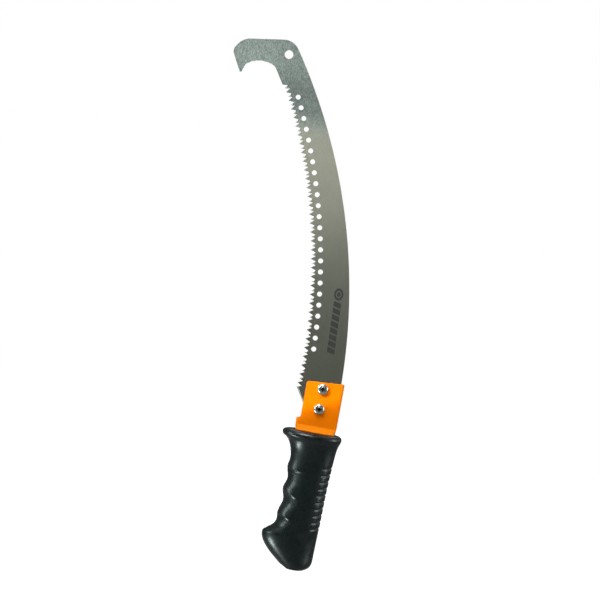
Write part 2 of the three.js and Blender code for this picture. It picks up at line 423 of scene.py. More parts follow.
def turned(name: str, profile: Sequence[tuple[float, float]], x: float, z: float, steps: int = 48,
           ) -> bpy.types.Object:
    """A closed piece turned about an axis along Y.

    Args:
        name: The piece's name.
        profile: Radius and Y of each point, a closed outline or one that starts and ends on the axis.
        x: The axis's X.
        z: The axis's Z.
        steps: The faces round the piece.

    Returns:
        The piece.
    """
    pen = Pen(x + profile[0][0], profile[0][1], z, Plane.LEVEL, name)
    for r, y in profile[1:]:
        pen.line(x + r, y)
    if profile[0][0] > 0:
        pen.line(x + profile[0][0], profile[0][1])
    merge_all()
    bpy.ops.mesh.spin(steps=steps, angle=math.tau, center=(x * MM, 0, z * MM), axis=(0, 1, 0))
    piece = pen.lift()
    face_outwards(piece)
    return piece


# ------------------------------------------------------------------------------ shader helpers
class Graph:
    """A node tree that is built by name."""

    def __init__(self, tree: bpy.types.NodeTree) -> None:
        """Keep the tree."""
        self.tree = tree

    def feed(self, socket: bpy.types.NodeSocket, value: Any) -> None:
        """Link an input to an output socket, or set its value.

        Args:
            socket: The input.
            value: The output socket, or a plain value.
        """
        if isinstance(value, bpy.types.NodeSocket):
            self.tree.links.new(value, socket)
        elif isinstance(value, tuple) and len(value) == 3 and socket.type == "RGBA":
            socket.default_value = (*value, 1.0)
        else:
            socket.default_value = value

    def add(self, kind: str, inputs: dict[str | int, Any] | None = None,
            **settings: Any) -> bpy.types.Node:
        """Add a node.

        Args:
            kind: The node's type.
            inputs: Values or output sockets for its inputs, by name or number.
            settings: The node's own properties.

        Returns:
            The node.
        """
        node = self.tree.nodes.new(kind)
        for name, value in settings.items():
            setattr(node, name, value)
        for key, value in (inputs or {}).items():
            self.feed(node.inputs[key], value)
        return node

    def math(self, operation: str, a: Any, b: Any = 0.0, clamp: bool = False) -> bpy.types.NodeSocket:
        """A Math node's output."""
        return self.add("ShaderNodeMath", {0: a, 1: b}, operation=operation, use_clamp=clamp).outputs[0]

    def ramp(self, value: Any, low: float, high: float, to_low: float = 0.0, to_high: float = 1.0,
             ) -> bpy.types.NodeSocket:
        """A smooth step of a value from one range to another.

        Args:
            value: The value or socket.
            low: Where the step starts.
            high: Where it ends.
            to_low: The result at the start.
            to_high: The result at the end.

        Returns:
            The result's socket.
        """
        node = self.add("ShaderNodeMapRange", {"Value": value, "From Min": low, "From Max": high,
                                               "To Min": to_low, "To Max": to_high},
                        interpolation_type="SMOOTHSTEP")
        return node.outputs["Result"]

    def mix(self, factor: Any, a: Any, b: Any, blend: str = "MIX") -> bpy.types.NodeSocket:
        """A colour mix's output."""
        return self.add("ShaderNodeMix", {0: factor, 6: a, 7: b}, data_type="RGBA", blend_type=blend,
                        clamp_result=False).outputs[2]

    def noise(self, vector: Any, scale: float, detail: float = 3.0, roughness: float = 0.55,
              ) -> bpy.types.NodeSocket:
        """A noise texture's value."""
        return self.add("ShaderNodeTexNoise", {"Vector": vector, "Scale": scale, "Detail": detail,
                                               "Roughness": roughness}).outputs["Fac"]


def shader_group(name: str, inputs: dict[str, Any], output: str,
                 draw: Callable[[Graph, Any], bpy.types.NodeSocket]) -> bpy.types.NodeTree:
    """Make a shader node group that gives one number.

    Args:
        name: The group's name.
        inputs: Each input's default: a number, or a vector, or None for a vector that is always linked.
        output: The output's name.
        draw: Adds the nodes, from the graph and the inputs' sockets, and gives the result.

    Returns:
        The group.
    """
    tree = bpy.data.node_groups.new(name, "ShaderNodeTree")
    for label, default in inputs.items():
        kind = "NodeSocketFloat" if isinstance(default, float) else "NodeSocketVector"
        socket = tree.interface.new_socket(label, in_out="INPUT", socket_type=kind)
        if default is not None:
            socket.default_value = default
    tree.interface.new_socket(output, in_out="OUTPUT", socket_type="NodeSocketFloat")
    graph = Graph(tree)
    source, sink = graph.add("NodeGroupInput"), graph.add("NodeGroupOutput")
    graph.feed(sink.inputs[0], draw(graph, source.outputs))
    return tree


class Effects:
    """The shader node groups that several finishes share, each built once."""

    def __init__(self) -> None:
        """Build the groups."""
        self.wear = shader_group(
            "edge_wear", {"Vector": None, "Radius": 0.4 * MM, "Amount": 0.5, "Scale": 400.0},
            "Mask", self._edge_wear)
        self.mottle = shader_group(
            "mottle", {"Vector": None, "Scale": 100.0, "Grain": 0.35}, "Value", self._mottle)
        self.scratches = shader_group(
            "scratches", {"Vector": None, "Stretch": (1.0, 1.0, 1.0), "Density": 0.5},
            "Value", self._scratches)

    def _edge_wear(self, g: Graph, src: Any) -> bpy.types.NodeSocket:
        """A mask of the outer edges, broken up by noise.

        Args:
            g: The group's graph.
            src: The group's input sockets.

        Returns:
            The mask.
        """
        rounded = g.add("ShaderNodeBevel", {"Radius": src["Radius"]}, samples=4)
        plain = g.add("ShaderNodeNewGeometry")
        dot = g.add("ShaderNodeVectorMath", {0: rounded.outputs["Normal"], 1: plain.outputs["Normal"]},
                    operation="DOT_PRODUCT").outputs["Value"]
        broken = g.ramp(g.noise(src["Vector"], src["Scale"], 4.0, 0.5), 0.35, 0.65)
        return g.math("MULTIPLY", g.math("MULTIPLY", g.ramp(dot, 0.995, 0.80), broken), src["Amount"],
                      clamp=True)

    def _mottle(self, g: Graph, src: Any) -> bpy.types.NodeSocket:
        """Blotches of two sizes with a fine grain on them.

        Args:
            g: The group's graph.
            src: The group's input sockets.

        Returns:
            The blotches' value.
        """
        large = g.add("ShaderNodeTexNoise", {"Vector": src["Vector"], "Scale": src["Scale"],
                                             "Detail": 3.0, "Distortion": 0.6}).outputs["Fac"]
        small = g.noise(src["Vector"], g.math("MULTIPLY", src["Scale"], 6.0), 3.0, 0.5)
        return g.add("ShaderNodeMix", {0: src["Grain"], 2: large, 3: small},
                     data_type="FLOAT").outputs[0]

    def _scratches(self, g: Graph, src: Any) -> bpy.types.NodeSocket:
        """Fine lines along one direction, from noise drawn out by unequal scales.

        Args:
            g: The group's graph.
            src: The group's input sockets.

        Returns:
            The lines' value.
        """
        drawn = g.add("ShaderNodeVectorMath", {0: src["Vector"], 1: src["Stretch"]},
                      operation="MULTIPLY").outputs["Vector"]
        low = g.math("SUBTRACT", 0.75, g.math("MULTIPLY", src["Density"], 0.35))
        return g.add("ShaderNodeMapRange", {"Value": g.noise(drawn, 1.0, 5.0, 0.7), "From Min": low,
                                            "From Max": 0.8}).outputs["Result"]

    def use(self, g: Graph, tree: bpy.types.NodeTree, inputs: dict[str, Any]) -> bpy.types.NodeSocket:
        """Place a group in a material and give its one output."""
        return g.add("ShaderNodeGroup", inputs, node_tree=tree).outputs[0]


def new_material(name: str, **constants: Any) -> tuple[bpy.types.Material, Graph, bpy.types.Node,
                                                       bpy.types.NodeSocket]:
    """Start a material with one Principled shader.

    Args:
        name: The material's name.
        constants: Values for the shader's sockets, with underscores for spaces.

    Returns:
        The material, its graph, the shader and the object coordinates.
    """
    material = bpy.data.materials.new(name)
    material.use_nodes = True
    graph = Graph(material.node_tree)
    shader = material.node_tree.nodes["Principled BSDF"]
    for key, value in constants.items():
        shader.inputs[key.replace("_", " ")].default_value = value
    coords = graph.add("ShaderNodeTexCoord").outputs["Object"]
    return material, graph, shader, coords


def bump(g: Graph, shader: bpy.types.Node, height: Any, distance: float, strength: float = 1.0) -> None:
    """Feed a height into a shader's normal.

    Args:
        g: The material's graph.
        shader: The shader.
        height: The height socket.
        distance: The height's full depth in millimetres.
        strength: The effect's strength.
    """
    node = g.add("ShaderNodeBump", {"Height": height, "Distance": distance * MM, "Strength": strength})
    g.feed(shader.inputs["Normal"], node.outputs["Normal"])


@dataclass(frozen=True)
class PrintedMark:
    """A plain mark printed beside the spine: a ring over a row of slanted blocks, in millimetres."""

    colour: Colour = (0.010, 0.011, 0.011)
    cover: float = 0.95
    middle: float = 270.0
    lean: float = 0.044
    row_middle: float = 267.5
    row_half: float = 29.0
    row_foot: float = 238.5
    half_width: float = 4.2
    slant: float = 0.3
    pitch: float = 7.25
    block: float = 0.40
    ring_at: float = 304.5
    squash: float = 0.74
    disc: float = 5.0
    eye: tuple[float, float] = (2.0, 3.0)
    front: float = -0.5

    def mask(self, g: Graph, coords: bpy.types.NodeSocket) -> bpy.types.NodeSocket:
        """Where the ink is.

        Args:
            g: The material's graph.
            coords: The object coordinates.

        Returns:
            The mark's mask.
        """
        parts = g.add("ShaderNodeSeparateXYZ", {0: coords}).outputs
        along = parts[2]
        drift = g.math("MULTIPLY", g.math("SUBTRACT", along, self.middle * MM), self.lean)
        across = g.math("ADD", parts[0], drift)
        off_row = g.math("ABSOLUTE", g.math("SUBTRACT", along, self.row_middle * MM))
        row = g.math("LESS_THAN", off_row, self.row_half * MM)
        band = g.math("LESS_THAN", g.math("ABSOLUTE", across), self.half_width * MM)
        slanted = g.math("ADD", g.math("SUBTRACT", along, self.row_foot * MM),
                         g.math("MULTIPLY", across, self.slant))
        cell = g.math("FRACT", g.math("DIVIDE", slanted, self.pitch * MM))
        block = g.math("LESS_THAN", g.math("ABSOLUTE", g.math("SUBTRACT", cell, 0.5)), self.block)
        blocks = g.math("MULTIPLY", g.math("MULTIPLY", row, band), block)
        up = g.math("MULTIPLY", g.math("SUBTRACT", along, self.ring_at * MM), self.squash)
        square = g.math("ADD", g.math("MULTIPLY", up, up), g.math("MULTIPLY", across, across))
        far = g.math("SQRT", square)
        disc = g.math("LESS_THAN", far, self.disc * MM)
        inner, outer = self.eye
        eye = g.math("MULTIPLY", g.math("LESS_THAN", far, outer * MM),
                     g.math("GREATER_THAN", far, inner * MM))
        shape = g.math("ADD", blocks, g.math("SUBTRACT", disc, eye, clamp=True), clamp=True)
        front = g.math("LESS_THAN", parts[1], self.front * MM)
        return g.math("MULTIPLY", g.math("MULTIPLY", shape, front), self.cover)


@dataclass(frozen=True)
class SteelFinish:
    """Rolled, hardened blade steel: fine streaky grey, cooler at the hook and warmer towards the tang;
    the hook end is also painted lighter as a painted reflection, with a painted dark reflection band
    near the hook and a painted highlight at its tip.
    """

    # cool is lighter than warm: the hook end's extra lightness is a painted reflection
    cool: Colour = (0.240, 0.292, 0.270)
    # tip: painted highlight, the hook's tip painted lighter to stand in for a reflection
    tip: Colour = (0.37, 0.45, 0.42)
    warm: Colour = (0.212, 0.2205, 0.176)
    scratch: Colour = (0.50, 0.54, 0.50)
    patchy: float = 0.8
    shade: float = 0.50
    metal: float = 0.90
    hook_span: tuple[float, float] = (0.462, 0.502)
    tip_highlight_across: tuple[float, float] = (-0.085, -0.150)
    tip_highlight_height: tuple[float, float] = (0.48, 0.51)
    # painted dark reflection: a darker band across the steel near the hook
    dark_reflection_from: tuple[float, float] = (0.472, 0.498)
    dark_reflection_to: tuple[float, float] = (0.548, 0.516)
    painted_dark_reflection: float = 0.36
    grain_scale: float = 1050.0
    grain_draw: Colour = (1.0, 1.0, 0.42)
    grain_depth: tuple[float, float] = (0.16, 0.84)
    scratch_draw: Colour = (1400.0, 1400.0, 90.0)
    relief: float = 0.02
    mark: PrintedMark = PrintedMark()

    def _tone(self, g: Graph, coords: bpy.types.NodeSocket, hook_end: bpy.types.NodeSocket,
              ) -> bpy.types.NodeSocket:
        """The steel's colour before its grain, with its painted reflections: lighter and cooler at the
        hook end, a dark band near the hook and a light tip.

        Args:
            g: The material's graph.
            coords: The object coordinates.
            hook_end: How far a place belongs to the hook end.

        Returns:
            The colour.
        """
        across, _, height = g.add("ShaderNodeSeparateXYZ", {0: coords}).outputs
        # painted reflection: the hook end is painted lighter and cooler than the tang
        body = g.mix(hook_end, self.warm, self.cool)
        # painted highlight: lighter steel towards the hook's tip
        painted_tip_highlight = g.math("MULTIPLY", g.ramp(across, *self.tip_highlight_across), g.ramp(height, *self.tip_highlight_height))
        body = g.mix(painted_tip_highlight, body, self.tip)
        # painted dark reflection: darken a band near the hook towards black
        painted_dark_reflection = g.math("MULTIPLY", g.ramp(height, *self.dark_reflection_from), g.ramp(height, *self.dark_reflection_to))
        body = g.mix(g.math("MULTIPLY", painted_dark_reflection, self.painted_dark_reflection), body, (0.0, 0.0, 0.0))
        patch = g.ramp(g.noise(coords, 11.0, 2.0), 0.35, 0.7)
        return g.mix(g.math("MULTIPLY", patch, 0.25), body, tuple(c * self.patchy for c in self.warm))

    def material(self, fx: Effects) -> bpy.types.Material:
        """Make the blade's material, with its printed mark.

        Args:
            fx: The shared shader groups.

        Returns:
            The material.
        """
        mat, g, shader, coords = new_material("blade_steel", Specular_IOR_Level=0.4)
        height = g.add("ShaderNodeSeparateXYZ", {0: coords}).outputs[2]
        drawn = g.add("ShaderNodeVectorMath", {0: coords, 1: self.grain_draw},
                      operation="MULTIPLY").outputs["Vector"]
        grain = fx.use(g, fx.mottle, {"Vector": drawn, "Scale": self.grain_scale, "Grain": 0.4})
        lines = fx.use(g, fx.scratches, {"Vector": coords, "Stretch": self.scratch_draw, "Density": 0.6})
        hook_end = g.ramp(height, *self.hook_span)
        body = self._tone(g, coords, hook_end)
        least, more = self.grain_depth
        depth = g.math("ADD", least, g.math("MULTIPLY", hook_end, more))
        dark = g.mix(1.0, body, (self.shade, self.shade, self.shade), "MULTIPLY")
        colour = g.mix(g.math("MULTIPLY", g.ramp(grain, 0.60, 0.40), depth), body, dark)
        colour = g.mix(g.math("MULTIPLY", lines, 0.12), colour, self.scratch)
        printed = self.mark.mask(g, coords)
        colour = g.mix(printed, colour, self.mark.colour)
        g.feed(shader.inputs["Base Color"], colour)
        rough = g.math("ADD", g.ramp(grain, 0.3, 0.7, 0.03, -0.02),
                       g.ramp(height, 0.20, 0.50, 0.30, 0.31))
        rough = g.math("ADD", rough, g.math("MULTIPLY", printed, 0.12))
        g.feed(shader.inputs["Roughness"], rough)
        g.feed(shader.inputs["Metallic"],
               g.math("SUBTRACT", self.metal, g.math("MULTIPLY", printed, self.metal)))
        relief = g.math("ADD", g.math("MULTIPLY", grain, depth), g.math("MULTIPLY", lines, 0.4))
        bump(g, shader, relief, self.relief, 0.5)
        return mat


@dataclass(frozen=True)
class GroundFinish:
    """Freshly ground steel on the cut faces of the teeth."""

    colour: Colour = (0.60, 0.63, 0.60)
    bright: Colour = (0.85, 0.86, 0.84)
    drawn: Colour = (2500.0, 400.0, 2500.0)
    rough: tuple[float, float] = (0.28, 0.42)
    relief: float = 0.01

    def material(self, fx: Effects) -> bpy.types.Material:
        """Make the bright ground steel.

        Args:
            fx: The shared shader groups.

        Returns:
            The material.
        """
        mat, g, shader, coords = new_material("ground_steel", Metallic=0.9)
        lines = fx.use(g, fx.scratches, {"Vector": coords, "Stretch": self.drawn, "Density": 0.7})
        g.feed(shader.inputs["Base Color"], g.mix(lines, self.colour, self.bright))
        g.feed(shader.inputs["Roughness"], g.ramp(lines, 0.0, 1.0, *self.rough))
        bump(g, shader, lines, self.relief, 0.5)
        return mat


@dataclass(frozen=True)
class PaintFinish:
    """Orange powder coat: smooth, with a faint ripple, a painted highlight over the fold, and paler worn
    cut edges.
    """

    colour: Colour = (0.90, 0.192, 0.0)
    deep: Colour = (0.80, 0.160, 0.0)
    # painted highlight over the fold band
    painted_fold_highlight: Colour = (1.0, 0.262, 0.004)
    worn: Colour = (1.0, 0.40, 0.08)
    fold_top: tuple[float, float] = (158.5, 156.5)
    fold_foot: tuple[float, float] = (140.0, 146.0)
    rough: tuple[float, float] = (0.34, 0.44)
    ripple_scale: float = 1100.0
    relief: float = 0.02

    def material(self, fx: Effects) -> bpy.types.Material:
        """Make the holder's paint.

        Args:
            fx: The shared shader groups.

        Returns:
            The material.
        """
        mat, g, shader, coords = new_material("orange_paint", Specular_IOR_Level=0.06)
        cloud = fx.use(g, fx.mottle, {"Vector": coords, "Scale": 60.0, "Grain": 0.3})
        worn = fx.use(g, fx.wear, {"Vector": coords, "Radius": 0.5 * MM, "Amount": 0.55, "Scale": 700.0})
        colour = g.mix(g.ramp(cloud, 0.35, 0.65, 0.0, 0.35), self.colour, self.deep)
        height = g.add("ShaderNodeSeparateXYZ", {0: coords}).outputs[2]
        top, foot = (tuple(z * MM for z in span) for span in (self.fold_top, self.fold_foot))
        # painted highlight: the fold band, where the flare faces the light, is painted lighter
        fold = g.math("MULTIPLY", g.ramp(height, *top), g.ramp(height, *foot))
        colour = g.mix(g.math("MULTIPLY", fold, 0.8), colour, self.painted_fold_highlight)
        colour = g.mix(worn, colour, self.worn)
        g.feed(shader.inputs["Base Color"], colour)
        g.feed(shader.inputs["Roughness"], g.ramp(cloud, 0.3, 0.7, *self.rough))
        bump(g, shader, g.noise(coords, self.ripple_scale, 2.0, 0.5), self.relief, 0.5)
        return mat


@dataclass(frozen=True)
class PlasticFinish:
    """Black moulded plastic with a fine etched grain and a soft sheen."""

    colour: Colour = (0.0026, 0.0052, 0.0056)
    dusty: Colour = (0.0050, 0.0085, 0.0090)
    worn: Colour = (0.008, 0.011, 0.011)
    rough: tuple[float, float] = (0.25, 0.34)
    grain_scale: float = 1900.0
    relief: float = 0.010

    def material(self, fx: Effects) -> bpy.types.Material:
        """Make the grip's plastic.

        Args:
            fx: The shared shader groups.

        Returns:
            The material.
        """
        mat, g, shader, coords = new_material("black_plastic", Specular_IOR_Level=0.40)
        cloud = fx.use(g, fx.mottle, {"Vector": coords, "Scale": 80.0, "Grain": 0.4})
        worn = fx.use(g, fx.wear, {"Vector": coords, "Radius": 0.8 * MM, "Amount": 0.3, "Scale": 500.0})
        colour = g.mix(g.ramp(cloud, 0.35, 0.65), self.colour, self.dusty)
        g.feed(shader.inputs["Base Color"], g.mix(worn, colour, self.worn))
        g.feed(shader.inputs["Roughness"], g.ramp(cloud, 0.3, 0.7, *self.rough))
        bump(g, shader, g.noise(coords, self.grain_scale, 2.0, 0.6), self.relief, 0.4)
        return mat


@dataclass(frozen=True)
class ZincFinish:
    """Bright zinc plate with slight clouding, and painted shade in the screws' cross recesses."""

    colour: Colour = (0.60, 0.61, 0.58)
    cloudy: Colour = (0.40, 0.42, 0.40)
    worn: Colour = (0.92, 0.93, 0.9)
    # painted shade for the screws' cross recesses
    painted_recess_shade: Colour = (0.045, 0.047, 0.044)
    rough: tuple[float, float] = (0.20, 0.32)
    relief: float = 0.015
    recess_mouth: tuple[float, float] = (-6.15, -5.75)
    recess_floor: tuple[float, float] = (-3.3, -3.6)
    recess_reach: float = 3.75

    def material(self, fx: Effects) -> bpy.types.Material:
        """Make the fasteners' plating.

        Args:
            fx: The shared shader groups.

        Returns:
            The material.
        """
        mat, g, shader, coords = new_material("zinc_plate", Metallic=1.0)
        cloud = fx.use(g, fx.mottle, {"Vector": coords, "Scale": 500.0, "Grain": 0.5})
        worn = fx.use(g, fx.wear, {"Vector": coords, "Radius": 0.25 * MM, "Amount": 0.7,
                                   "Scale": 1500.0})
        colour = g.mix(g.ramp(cloud, 0.4, 0.65), self.colour, self.cloudy)
        colour = g.mix(worn, colour, self.worn)
        # recess: where painted shade darkens the cross recesses
        recess = self._recess_shade_mask(g, coords)
        g.feed(shader.inputs["Base Color"], g.mix(recess, colour, self.painted_recess_shade))
        rough = g.math("ADD", g.ramp(cloud, 0.3, 0.7, *self.rough), g.math("MULTIPLY", recess, 0.3))
        g.feed(shader.inputs["Roughness"], rough)
        bump(g, shader, cloud, self.relief, 0.5)
        return mat

    def _recess_shade_mask(self, g: Graph, coords: bpy.types.NodeSocket) -> bpy.types.NodeSocket:
        """Where painted shade darkens the two screws' cross recesses.

        Args:
            g: The material's graph.
            coords: The object coordinates.

        Returns:
            The mask.
        """
        parts = g.add("ShaderNodeSeparateXYZ", {0: coords}).outputs
        high, low = SCREW_HEIGHTS
        away = g.math("ABSOLUTE", g.math("SUBTRACT", parts[2], (high + low) / 2 * MM))
        off = g.math("SUBTRACT", away, (high - low) / 2 * MM)
        square = g.math("ADD", g.math("MULTIPLY", off, off), g.math("MULTIPLY", parts[0], parts[0]))
        mouth, floor = (tuple(y * MM for y in span) for span in (self.recess_mouth, self.recess_floor))
        deep = g.math("MULTIPLY", g.ramp(parts[1], *mouth), g.ramp(parts[1], *floor))
        near = g.math("LESS_THAN", g.math("SQRT", square), self.recess_reach * MM)
        return g.math("MULTIPLY", deep, near)


# ------------------------------------------------------------------------------ saw blade
@dataclass
class SawBlade:
    """The blade: one steel plate with hook, rope hole, relief holes, set teeth and tang."""

    thickness: float = 1.4
    spine: Arc = Arc(-624.9, 197.3, 644.2)
    tips: Arc = Arc(-661.5, 222.6, 633.2)
    short_by: float = 1.0
    gullet: float = 5.3
    first_tip: float = 27.72
    last_tip: float = -2.35
    teeth: int = 69
    bevel_in: float = 2.3
    set_by: float = 0.22
    relief: Arc = Arc(-671.5, 221.6, 654.0)
    relief_first: float = 26.17
    relief_last: float = 1.66
    relief_count: int = 24
    relief_dia: float = 5.5
    rope: tuple[float, float, float] = (-102.9, 554.2, 9.6)
    foot: float = 163.5
    heel_slope: float = -1.59
    short_at: float = 0.525
    low_at: tuple[float, float] = (0.31, 0.735)
    ground_depth: float = 9.0
    ground_span: tuple[float, float] = (214.0, 530.0)
    tooth_places: list[tuple[float, float, bool]] = field(default_factory=list)

    def _draw_body(self, pen: Pen) -> None:
        """Draw the tang, the spine and the hook, from the last tooth round to the first gullet.

        Args:
            pen: The pen, at the last tooth.
        """
        last = self.tips.at(self.last_tip)
        foot_left = last[0] + (self.foot - last[1]) / self.heel_slope
        rise = self.foot + 6
        pen.follow([(foot_left, self.foot, 3), (self.spine.x_at(self.foot), self.foot, 3),
                    (self.spine.x_at(rise), rise, 0)])
        top = 560.7
        start, end = self.spine.angle_at(rise), self.spine.angle_at(top)
        pen.turn(self.spine.x, self.spine.z, end - start, 72)
        pen.follow([(-100.3, 571.0, 18), (-155.8, 562.7, 19), (-164.9, 548.6, 8), (-151.9, 524.1, 1.3),
                    (-148.0, 535.8, 6), (-135.2, 543.9, 30), (-116.4, 540.0, 10), (-103.8, 520.3, 0),
                    (-98.2, 520.7, 0)], fine=5.0)

    def _draw_teeth(self, pen: Pen) -> None:
        """Draw the teeth in pairs, a broad long one and a narrow short one, down to the last.

        Args:
            pen: The pen, at the end of the hook.
        """
        step = (self.first_tip - self.last_tip) / (self.teeth - 1)
        root = self.tips.grown(self.gullet)
        for k in range(self.teeth):
            pair = self.first_tip - step * (2 * ((k + 1) // 2) - 1)
            broad = k % 2 == 1
            angle = pair if broad else pair - 2 * step * self.short_at
            at_end = k in (0, self.teeth - 1)
            if at_end:
                angle = self.first_tip if k == 0 else self.last_tip
            edge = self.tips if broad or at_end else self.tips.grown(self.short_by)
            x, z = edge.at(angle)
            self.tooth_places.append((x, z, not broad))
            pen.line(x, z)
            if k < self.teeth - 1:
                share = self.low_at[0] if broad else self.low_at[1]
                low = self.first_tip - 0.5 * step if k == 0 else pair - 2 * step * share
                pen.line(*root.at(low))

    def _add_holes(self) -> None:
        """Add the outlines of every round hole to the mesh that is being edited."""
        rings = [(*self.relief.at(self.relief_first + (self.relief_last - self.relief_first)
                                  * k / (self.relief_count - 1)), self.relief_dia, 28)
                 for k in range(self.relief_count)]
        rings.append((*self.rope, 48))
        rings += [(0.0, z, SCREW_HOLE, 32) for z in SCREW_HEIGHTS]
        for x, z, dia, count in rings:
            bpy.ops.mesh.primitive_circle_add(
                vertices=count, radius=dia / 2 * MM, rotation=(math.pi / 2, 0, 0),
                location=(x * MM, -self.thickness / 2 * MM, z * MM))

    def _grind_teeth(self, piece: bpy.types.Object) -> None:
        """Give each tooth its ground point, on alternate sides, and set it away from that side.

        Args:
            piece: The blade.
        """
        half = self.thickness / 2
        with editing(piece):
            for x, z, to_front in self.tooth_places:
                side = -half if to_front else half
                away = Vector((x - self.tips.x, 0, z - self.tips.z)).normalized()
                shove = Vector((0, self.set_by if to_front else -self.set_by, 0))
                for y, move in ((side, away * self.bevel_in), (-side, shove)):
                    spot = Vector((x, y, z)) * MM
                    if pick_verts(piece, lambda c, s=spot: (c - s).length < 0.02 * MM):
                        bpy.ops.transform.translate(value=move * MM)

    def build(self) -> bpy.types.Object:
        """Model the blade.

        Returns:
            The finished blade.
        """
        half = self.thickness / 2
        start = self.tips.at(self.last_tip)
        pen = Pen(start[0], start[1], -half, name="blade")
        self._draw_body(pen)
        self._draw_teeth(pen)
        merge_all()
        self._add_holes()
        bpy.ops.mesh.select_all(action="SELECT")
        bpy.ops.mesh.extrude_region_move(
            TRANSFORM_OT_translate={"value": (0, self.thickness * MM, 0)})
        for side in (-half, half):
            pick_verts(pen.piece, lambda c, s=side: abs(c.y - s * MM) < 0.01 * MM)
            bpy.ops.mesh.fill(use_beauty=True)
        piece = pen.lift()
        self._grind_teeth(piece)
        face_outwards(piece)
        return piece

    def dress(self, piece: bpy.types.Object, steel: bpy.types.Material,
              ground: bpy.types.Material) -> None:
        """Give the plate its rolled steel, and the cut faces of the teeth ground steel.

        Args:
            piece: The blade.
            steel: The plate's material.
            ground: The teeth's material.
        """
        piece.data.materials.append(steel)
        piece.data.materials.append(ground)
        low, high = self.ground_span

        def on_a_tooth(face: bmesh.types.BMFace) -> bool:
            """Whether a cut face belongs to the toothed edge.

            Args:
                face: The face.

            Returns:
                True if it does.
            """
            c = face.calc_center_median() / MM
            deep = self.tips.r - math.hypot(c.x - self.tips.x, c.z - self.tips.z)
            return abs(face.normal.y) < 0.95 and abs(deep) < self.ground_depth and low < c.z < high

        with editing(piece, "FACE"):
            pick_faces(piece, on_a_tooth)
            piece.active_material_index = 1
            bpy.ops.object.material_slot_assign()


# ------------------------------------------------------------------------------ blade holder
@dataclass
class BladeHolder:
    """The steel tube, round in the grip and pressed flat round the blade, with its slot cut open."""

    outside: float = 31.0
    wall: float = 1.5
    gap: float = 2.0
    start: float = 20.0
    round_to: float = 133.0
    flat_from: float = 157.0
    top: float = 214.0
    ends: int = 20

    def ease(self, share: float) -> float:
        """How far the tube has opened at a share of the way down from its crisp upper fold."""
        t = min(1.0, max(0.0, share))
        return 0.45 * t + t ** 3 * (2.65 - 2.1 * t)

    def section(self, z: float, offset: float) -> tuple[float, float]:
        """The half length between end centres and the end radius at a height.

        Args:
            z: The height.
            offset: How far outside the wall's middle the section lies.

        Returns:
            Half the straight side, and the radius of the round ends.
        """
        wide, tight = (self.outside - self.wall) / 2, (self.gap + self.wall) / 2
        share = (self.flat_from - z) / (self.flat_from - self.round_to)
        middle = tight + (wide - tight) * self.ease(share)
        return math.pi * (wide - middle) / 2 + 0.01, middle + offset

    def heights(self, low: float, high: float, steps: int = 40) -> list[float]:
        """The heights of the sections, close together where the tube changes shape.

        Args:
            low: The lowest section.
            high: The highest section.
            steps: The parts of the stretch between round and flat.

        Returns:
            The heights in rising order.
        """
        span = self.flat_from - self.round_to
        inner = [self.round_to + span * k / steps for k in range(steps + 1)]
        return [low] + [z for z in inner if low < z < high] + [high]

    def sleeve(self, name: str, low: float, high: float, offset: Callable[[float], float],
               ) -> bpy.types.Object:
        """The tube's form as an open sleeve.

        Args:
            name: The sleeve's name.
            low: Its lower end.
            high: Its upper end.
            offset: How far outside the wall's middle it lies at each height.

        Returns:
            The sleeve.
        """
        piece: bpy.types.Object | None = None
        for z in self.heights(low, high):
            half, radius = self.section(z, offset(z))
            pen = Pen(half, -radius, z, Plane.LEVEL, name if piece is None else None)
            pen.turn(half, 0, 180, self.ends)
            pen.line(-half, radius)
            pen.turn(-half, 0, 180, self.ends)
            pen.line(half, -radius)
            pen.close()
            piece = pen.piece
        bpy.ops.mesh.select_all(action="SELECT")
        bpy.ops.mesh.bridge_edge_loops()
        bpy.ops.object.mode_set(mode="OBJECT")
        face_outwards(piece)
        return piece

    def solid(self, name: str, low: float, high: float, offset: Callable[[float], float],
              ) -> bpy.types.Object:
        """The same form, closed at both ends.

        Args:
            name: The solid's name.
            low: Its lower end.
            high: Its upper end.
            offset: How far outside the wall's middle it lies at each height.

        Returns:
            The solid.
        """
        piece = self.sleeve(name, low, high, offset)
        with editing(piece):
            for z in (low, high):
                pick_verts(piece, lambda c, s=z: abs(c.z - s * MM) < 0.001 * MM)
                bpy.ops.mesh.edge_face_add()
        face_outwards(piece)
        return piece

    def build(self) -> bpy.types.Object:
        """Model the holder.

        Returns:
            The finished holder.
        """
        half = self.wall / 2
        piece = self.solid("holder", self.start, self.top, lambda z: half)
        hollow = self.solid("holder_hollow", self.start - 1, self.top + 1, lambda z: -half)
        carve(piece, hollow)
        left, right, shoulder, step = -18.6, 23.2, 163.9, -23.6
        top_left, top_right = 205.1, 208.0
        keep = plate("holder_keep", (-60, 10),
                     [(60, 10, 0), (60, 120, 0), (right, 150, 0), (right, top_right, 2.0),
                      (left, top_left, 3.5), (left, shoulder, 3.0), (step, shoulder, 1.6),
                      (step, 140, 0), (-60, 120, 0), (-60, 10, 0)], -30, 30)
        carve(piece, keep, "INTERSECT")
        hole = SCREW_HOLE / 2
        for z in SCREW_HEIGHTS:
            carve(piece, turned("drill", [(0, -10), (hole, -10), (hole, 10), (0, 10)], 0, z, 40))
        with editing(piece):
            bpy.ops.mesh.select_all(action="SELECT")
            bpy.ops.mesh.dissolve_limited(angle_limit=math.radians(0.1))
        soften(piece, 0.3, 2, 50)
        smooth_shade(piece, 11)
        return piece


